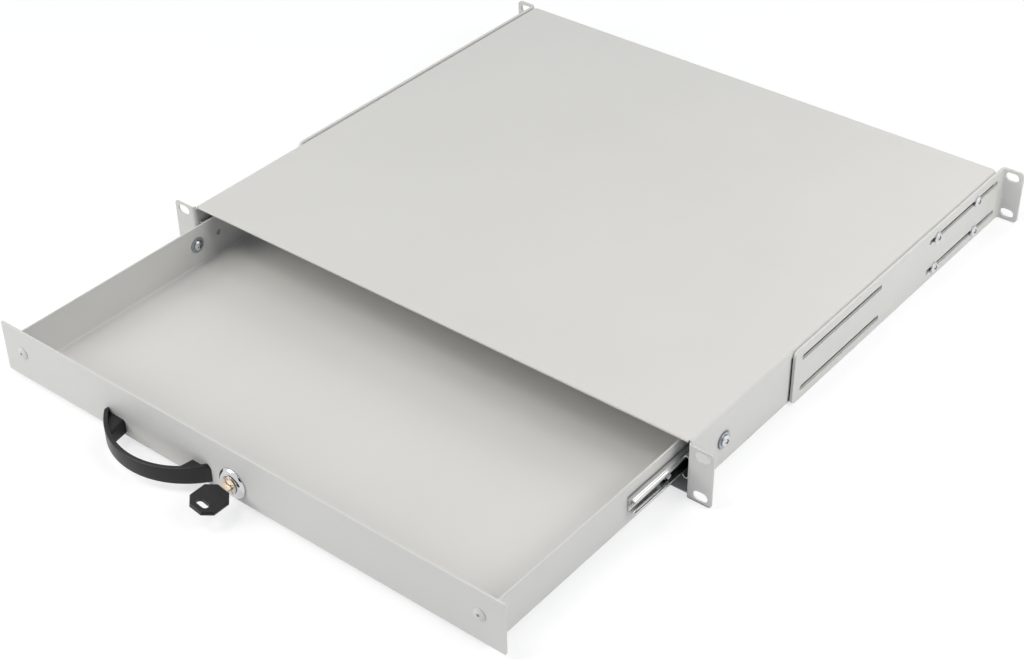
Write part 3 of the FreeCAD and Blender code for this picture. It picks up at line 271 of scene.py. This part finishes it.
# drawer members and cam, with painted shade in the grooves and next to the walls
zincLook = {"dark": (0.72, 0.73, 0.75), "light": (0.88, 0.88, 0.89), "roughness": (0.16, 0.26), "bump": 0.006,
            "metallic": 1.0, "specular": 0.5,
            "paintedShade": {"values": {"Reach": 5.0 * mm, "Open": 0.9, "Closed": 0.3}, "amount": 0.6,
                     "colour": (0.08, 0.1, 0.1)}}
zincBrush = {"Stretch": (1500.0, 40.0, 1500.0), "Cloud Scale": 90.0}
zincPlate = finishMaterial("zincPlate", zincLook, brushMarks, zincBrush)

# cabinet members: a darker and rougher copy of the drawer members' zinc; the darker colour is painted shade for the
# members inside the cabinet
shadedZincLook = {"dark": (0.36, 0.37, 0.39), "light": (0.46, 0.47, 0.49), "roughness": (0.4, 0.5), "bump": 0.006,
                "metallic": 1.0, "specular": 0.5}
shadedZinc = finishMaterial("shadedZinc", shadedZincLook, brushMarks, zincBrush)

# screws, rivets and nuts, with a painted highlight on their edges and painted shade in their recesses and under their
# heads
boltLook = {"dark": (0.6, 0.61, 0.64), "light": (0.78, 0.79, 0.82), "roughness": (0.3, 0.42), "bump": 0.006,
            "metallic": 1.0, "specular": 0.5,
            "paintedHighlight": {"values": {"Start": 0.52, "End": 0.6, "Breakup Scale": 500.0}, "amount": 0.4,
                     "colour": (0.84, 0.84, 0.85)},
            "paintedShade": {"values": {"Reach": 1.2 * mm, "Open": 0.8, "Closed": 0.35}, "amount": 0.85,
                     "colour": (0.06, 0.065, 0.08)}}
boltGrain = {"Grain Scale": 2600.0, "Ripple Scale": 900.0, "Ripple Share": 0.5, "Drift Scale": 160.0}
boltZinc = finishMaterial("boltZinc", boltLook, surfaceGrain, boltGrain)

# washers, with painted shade where they meet screw heads and sheets
washerLook = {"dark": (0.36, 0.4, 0.45), "light": (0.5, 0.54, 0.59), "roughness": (0.28, 0.42), "bump": 0.01,
              "metallic": 1.0, "specular": 0.5,
              "paintedShade": {"values": {"Reach": 1.2 * mm, "Open": 0.8, "Closed": 0.35}, "amount": 0.8,
                       "colour": (0.06, 0.065, 0.08)}}
washerZinc = finishMaterial("washerZinc", washerLook, surfaceGrain, boltGrain)

ballLook = {"dark": (0.68, 0.69, 0.7), "light": (0.76, 0.77, 0.78), "roughness": (0.06, 0.14), "bump": 0.001,
            "metallic": 1.0, "specular": 0.5}
ballGrain = {"Grain Scale": 3000.0, "Ripple Scale": 700.0, "Ripple Share": 0.5, "Drift Scale": 300.0}
ballSteel = finishMaterial("ballSteel", ballLook, surfaceGrain, ballGrain)

# lock bezel
chromeLook = {"dark": (0.58, 0.585, 0.6), "light": (0.66, 0.665, 0.68), "roughness": (0.05, 0.11), "bump": 0.001,
              "metallic": 1.0, "specular": 0.5}
chromeGrain = {"Grain Scale": 2200.0, "Ripple Scale": 500.0, "Ripple Share": 0.7, "Drift Scale": 120.0}
chromePlate = finishMaterial("chromePlate", chromeLook, surfaceGrain, chromeGrain)

# lock plug and key blade, with a painted highlight on their edges and painted shade in the keyway and other recesses
nickelLook = {"dark": (0.5, 0.455, 0.4), "light": (0.6, 0.55, 0.49), "roughness": (0.3, 0.42), "bump": 0.004,
              "metallic": 1.0, "specular": 0.5,
              "paintedHighlight": {"values": {"Start": 0.52, "End": 0.6, "Breakup Scale": 600.0}, "amount": 0.3,
                       "colour": (0.86, 0.8, 0.7)},
              "paintedShade": {"values": {"Reach": 1.1 * mm, "Open": 0.92, "Closed": 0.45}, "amount": 0.95,
                       "colour": (0.07, 0.04, 0.02)}}
nickelBrush = {"Stretch": (1800.0, 120.0, 1800.0), "Cloud Scale": 200.0}
satinNickel = finishMaterial("satinNickel", nickelLook, brushMarks, nickelBrush)

# handle and key head, with a painted highlight along their edges
handleLook = {"dark": (0.0075, 0.0075, 0.0095), "light": (0.012, 0.012, 0.015), "roughness": (0.3, 0.38), "bump": 0.015,
              "metallic": 0.0, "specular": 0.34,
              "paintedHighlight": {"values": {"Start": 0.52, "End": 0.62, "Breakup Scale": 160.0}, "amount": 0.25,
                       "colour": (0.06, 0.06, 0.062)},
              "dust": {"values": {"Patch Scale": 60.0, "Speck Scale": 1500.0}, "amount": 0.06, "roughness": 0.3,
                       "colour": (0.2, 0.2, 0.2)}}
handleGrain = {"Grain Scale": 2400.0, "Ripple Scale": 800.0, "Ripple Share": 0.35, "Drift Scale": 60.0}
blackMoulding = finishMaterial("blackMoulding", handleLook, surfaceGrain, handleGrain)

cageLook = {"dark": (0.06, 0.06, 0.06), "light": (0.1, 0.1, 0.1), "roughness": (0.4, 0.55), "bump": 0.01,
            "metallic": 0.0, "specular": 0.45}
cageGrain = {"Grain Scale": 2600.0, "Ripple Scale": 900.0, "Ripple Share": 0.5, "Drift Scale": 90.0}
cageMoulding = finishMaterial("cageMoulding", cageLook, surfaceGrain, cageGrain)
print("materials built")

geometryIn = ("Geometry", "NodeSocketGeometry", None)
geometryOut = ("Geometry", "NodeSocketGeometry")

# joins the CAD facets into one skin, then shades it smooth except at true corners; gap in mm, corner in radians
joinLook = {"gap": 0.002, "corner": 0.5}


def buildJoinFacets():
    inputs = [geometryIn, ("Corner", "NodeSocketFloat", joinLook["corner"])]
    tree, given, result = newGroup("joinFacets", "GeometryNodeTree", inputs, [geometryOut])
    links = {"Geometry": given.outputs["Geometry"], "Distance": joinLook["gap"] * mm}
    merged = addNode(tree, "GeometryNodeMergeByDistance", links)
    plain = addNode(tree, "GeometryNodeRemoveAttribute", {"Geometry": merged.outputs[0], "Name": "custom_normal"})
    links = {"Geometry": plain.outputs[0], "Shade Smooth": True}
    smooth = addNode(tree, "GeometryNodeSetShadeSmooth", links, domain="FACE")
    angle = addNode(tree, "GeometryNodeInputMeshEdgeAngle").outputs["Unsigned Angle"]
    links = {"A": angle, "B": given.outputs["Corner"]}
    corner = addNode(tree, "FunctionNodeCompare", links, operation="GREATER_THAN")
    links = {"Geometry": smooth.outputs[0], "Selection": corner.outputs[0], "Shade Smooth": False}
    sharp = addNode(tree, "GeometryNodeSetShadeSmooth", links, domain="EDGE")
    tree.links.new(sharp.outputs[0], result.inputs["Geometry"])
    return tree


# drawer members: flange narrowed to the photograph's width, with a wider ball track along its tip, mm from the middle
flangeLook = {"web": 212.0, "trackStart": 217.5, "tip": 219.5, "drawnStart": 214.4, "drawnTip": 217.0}


def buildDrawFlange():
    tree, given, result = newGroup("drawFlange", "GeometryNodeTree", [geometryIn], [geometryOut])
    web, start, tip, drawnStart, drawnTip = (
        flangeLook[key] * mm for key in ("web", "trackStart", "tip", "drawnStart", "drawnTip"))
    place = splitAxes(tree, addNode(tree, "GeometryNodeInputPosition").outputs[0])
    out = mathNode(tree, "ABSOLUTE", place["X"])
    flat = mapRange(tree, out, (web, start), (0.0, drawnStart - web))
    track = mapRange(tree, out, (start, tip), (0.0, drawnTip - drawnStart))
    reach = mathNode(tree, "ADD", mathNode(tree, "MINIMUM", out, web), mathNode(tree, "ADD", flat, track))
    across = mathNode(tree, "MULTIPLY", mathNode(tree, "SIGN", place["X"]), reach)
    moved = addNode(tree, "ShaderNodeCombineXYZ", {"X": across, "Y": place["Y"], "Z": place["Z"]}).outputs[0]
    drawn = addNode(tree, "GeometryNodeSetPosition", {"Geometry": given.outputs["Geometry"], "Position": moved})
    tree.links.new(drawn.outputs[0], result.inputs["Geometry"])
    return tree


joinFacets = buildJoinFacets()
drawFlange = buildDrawFlange()
for name in ("slide_inner_left", "slide_inner_right"):
    nodes[name].modifiers.new("drawFlange", "NODES").node_group = drawFlange

# angles in degrees; faces with cutFrom corners or more are cut up, so that holes in them stay clean under the bevel
edgeLook = {"flatAngle": 0.2, "cutFrom": 5, "bevelAngle": 32, "segments": 2}


def softenEdges(piece, width):
    piece.modifiers.new("joinFacets", "NODES").node_group = joinFacets
    if not width:
        return
    flat = piece.modifiers.new("flatFaces", "DECIMATE")
    flat.decimate_type = "DISSOLVE"
    flat.angle_limit = math.radians(edgeLook["flatAngle"])
    cut = piece.modifiers.new("cutFaces", "TRIANGULATE")
    cut.min_vertices = edgeLook["cutFrom"]
    bevel = piece.modifiers.new("softEdges", "BEVEL")
    bevel.width = width * mm
    bevel.segments = edgeLook["segments"]
    bevel.limit_method = "ANGLE"
    bevel.angle_limit = math.radians(edgeLook["bevelAngle"])
    bevel.harden_normals = True
    bevel.miter_outer = "MITER_ARC"


finishes = {
    shellCoat: ("cabinet_shell",),
    bracketCoat: ("rear_bracket_left", "rear_bracket_right"),
    powderCoat: ("lock_strike", "tray", "front_panel", "panel_screws"),
    zincPlate: ("slide_inner_left", "slide_inner_right", "lock_cam"),
    # the outer members take the zinc copy with painted shade
    shadedZinc: ("slide_outer_left", "slide_outer_right"),
    boltZinc: ("cabinet_slide_screws", "cabinet_slide_rivets", "rivet_nuts", "bracket_screws", "panel_nuts",
               "handle_screws", "lock_nut", "tray_slide_screws", "tray_slide_nuts", "cam_screw"),
    washerZinc: ("cabinet_slide_washers", "handle_washers", "tray_slide_washers"),
    ballSteel: ("cage_balls_left", "cage_balls_right"),
    chromePlate: ("lock_housing",),
    satinNickel: ("lock_plug", "key_blade"),
    blackMoulding: ("handle", "key_head"),
    cageMoulding: ("ball_cage_left", "ball_cage_right"),
}
# width of the softened edges in mm
edgeWidths = {"cabinet_shell": 0.22, "tray": 0.25, "front_panel": 0.35, "rear_bracket_left": 0.35,
              "rear_bracket_right": 0.35, "lock_strike": 0.15, "handle": 0.5, "key_head": 0.4, "lock_housing": 0.15,
              "lock_plug": 0.12, "slide_outer_left": 0.12, "slide_outer_right": 0.12, "slide_inner_left": 0.12,
              "slide_inner_right": 0.12, "cage_balls_left": 0.0, "cage_balls_right": 0.0, "other": 0.1}
for material, names in finishes.items():
    for name in names:
        piece = nodes[name]
        piece.data.materials.clear()
        piece.data.materials.append(material)
        softenEdges(piece, edgeWidths.get(name, edgeWidths["other"]))
print("CAD nodes dressed")


plainWhite = (1, 1, 1, 1)


# 1 where the camera or a shiny or clear face looks, 0 for the light that lands on matt faces
def seenDirectly(tree):
    path = addNode(tree, "ShaderNodeLightPath").outputs
    seen = mathNode(tree, "ADD", path["Is Camera Ray"], path["Is Glossy Ray"], clamp=True)
    return mathNode(tree, "ADD", seen, path["Is Transmission Ray"], clamp=True)


def newObject(name, data):
    made = bpy.data.objects.new(name, data)
    bpy.context.collection.objects.link(made)
    return made


# cool soft light from all around, and plain white where the camera or a shiny face sees it
worldLook = {"level": 0.234, "tint": (0.85, 0.99, 1.18)}


def buildWorld():
    world = bpy.data.worlds.new("studioWorld")
    bpy.context.scene.world = world
    world.use_nodes = True
    tree = world.node_tree
    lit = tree.nodes["Background"]
    lit.inputs["Color"].default_value = (*worldLook["tint"], 1)
    lit.inputs["Strength"].default_value = worldLook["level"]
    white = addNode(tree, "ShaderNodeBackground", {"Color": plainWhite, "Strength": 1.0})
    mixed = addNode(tree, "ShaderNodeMixShader", {0: seenDirectly(tree), 1: lit.outputs[0], 2: white.outputs[0]})
    tree.links.new(mixed.outputs[0], tree.nodes["World Output"].inputs["Surface"])


# size in m, gap under the lowest face in mm; white is the share of plain glow where the floor is seen directly
floorLook = {"size": 12.0, "gap": 0.2, "colour": (0.932, 0.945, 0.962), "white": 0.6, "glow": 1.12}


def buildFloor():
    mesh = bpy.data.meshes.new("studioFloor")
    half, level = floorLook["size"] / 2, cadBox[0].z - floorLook["gap"] * mm
    corners = [(-half, -half, level), (half, -half, level), (half, half, level), (-half, half, level)]
    mesh.from_pydata(corners, [], [(0, 1, 2, 3)])
    floor = newObject("studioFloor", mesh)
    material = bpy.data.materials.new("paleFloor")
    material.use_nodes = True
    tree = material.node_tree
    tree.nodes.remove(tree.nodes["Principled BSDF"])
    matt = addNode(tree, "ShaderNodeBsdfDiffuse", {"Color": (*floorLook["colour"], 1)})
    glow = addNode(tree, "ShaderNodeEmission", {"Color": plainWhite, "Strength": floorLook["glow"]})
    share = mathNode(tree, "MULTIPLY", seenDirectly(tree), floorLook["white"])
    mixed = addNode(tree, "ShaderNodeMixShader", {0: share, 1: matt.outputs[0], 2: glow.outputs[0]})
    tree.links.new(mixed.outputs[0], tree.nodes["Material Output"].inputs["Surface"])
    mesh.materials.append(material)


# dark screen on the camera's side that only shiny faces show; angles turn to the right from the front, lengths in m
screenLook = {"radius": 2.2, "low": 0.45, "high": 2.5, "start": 25, "end": 155, "steps": 13,
              "colour": (0.02, 0.02, 0.022)}


def buildScreen():
    points, faces = [], []
    steps, span = screenLook["steps"], screenLook["end"] - screenLook["start"]
    for step in range(steps + 1):
        turn = math.radians(screenLook["start"] + span * step / steps)
        across, along = math.sin(turn) * screenLook["radius"], -math.cos(turn) * screenLook["radius"]
        points += [(across, along, screenLook["low"]), (across, along, screenLook["high"])]
        if step:
            last = 2 * step
            faces.append((last - 2, last, last + 1, last - 1))
    mesh = bpy.data.meshes.new("darkScreen")
    mesh.from_pydata(points, [], faces)
    screen = newObject("darkScreen", mesh)
    material = bpy.data.materials.new("darkCloth")
    material.use_nodes = True
    shader = material.node_tree.nodes["Principled BSDF"]
    shader.inputs["Base Color"].default_value = (*screenLook["colour"], 1)
    shader.inputs["Specular IOR Level"].default_value = 0.0
    mesh.materials.append(material)
    screen.visible_camera = False
    screen.visible_diffuse = False
    screen.visible_shadow = False
    screen.visible_transmission = False


# soft lamps: two at the front left, one each at the right, behind and low at the right; power in W, lengths in m
lampTint = (1.05, 1.0, 0.92)
lampLooks = {"frontLamp": {"power": 11.6, "size": 0.8, "place": (-0.95, -1.15, 0.95), "aim": (-0.05, -0.05, 0)},
             "topLamp": {"power": 12.2, "size": 0.8, "place": (-0.5, -0.8, 1.9), "aim": (0, 0, 0)},
             "rightLamp": {"power": 9.2, "size": 0.8, "place": (1.2, 0.2, 1.25), "aim": (0.1, 0.1, 0)},
             "rearLamp": {"power": 5.8, "size": 0.8, "place": (0.0, 1.6, 1.3), "aim": (0, 0.1, 0)},
             "lowLamp": {"power": 1.65, "size": 0.5, "place": (0.9, 0.5, 0.45), "aim": (0.2, 0.2, 0)}}


def addLamp(name, lampLook):
    light = bpy.data.lights.new(name, "AREA")
    light.energy = lampLook["power"]
    light.color = lampTint
    light.size = lampLook["size"]
    lamp = newObject(name, light)
    lamp.location = Vector(lampLook["place"])
    lamp.rotation_euler = (Vector(lampLook["aim"]) - lamp.location).to_track_quat("-Z", "Y").to_euler()


buildWorld()
buildFloor()
buildScreen()
for lampName, lampLook in lampLooks.items():
    addLamp(lampName, lampLook)
print("studio built")

# camera fitted to the rack slots and sheet corners of the photograph, for an image of 1024 by 660
view = {"azimuth": 39.4314, "elevation": 36.4028, "roll": -0.9706, "target": (0.0417098, 0.0476563, 0.0),
        "distance": 1.3091074, "focalPixels": 1892.5235, "imageWidth": 1024, "sensor": 36.0}


def buildCamera():
    turn, rise, roll = (math.radians(view[key]) for key in ("azimuth", "elevation", "roll"))
    back = Vector((math.sin(turn) * math.cos(rise), -math.cos(turn) * math.cos(rise), math.sin(rise)))
    level = Vector((0, 0, 1)).cross(back).normalized()
    upright = back.cross(level)
    right = level * math.cos(roll) + upright * math.sin(roll)
    up = upright * math.cos(roll) - level * math.sin(roll)
    lens = bpy.data.cameras.new("photoCamera")
    lens.sensor_width = view["sensor"]
    lens.sensor_fit = "HORIZONTAL"
    lens.lens = view["focalPixels"] / view["imageWidth"] * view["sensor"]
    camera = newObject("photoCamera", lens)
    place = Vector(view["target"]) + back * view["distance"]
    axes = Matrix((right, up, back)).transposed().to_4x4()
    camera.matrix_world = Matrix.Translation(place) @ axes
    bpy.context.scene.camera = camera


buildCamera()
bpy.context.scene.view_settings.view_transform = "Standard"
print("camera set")
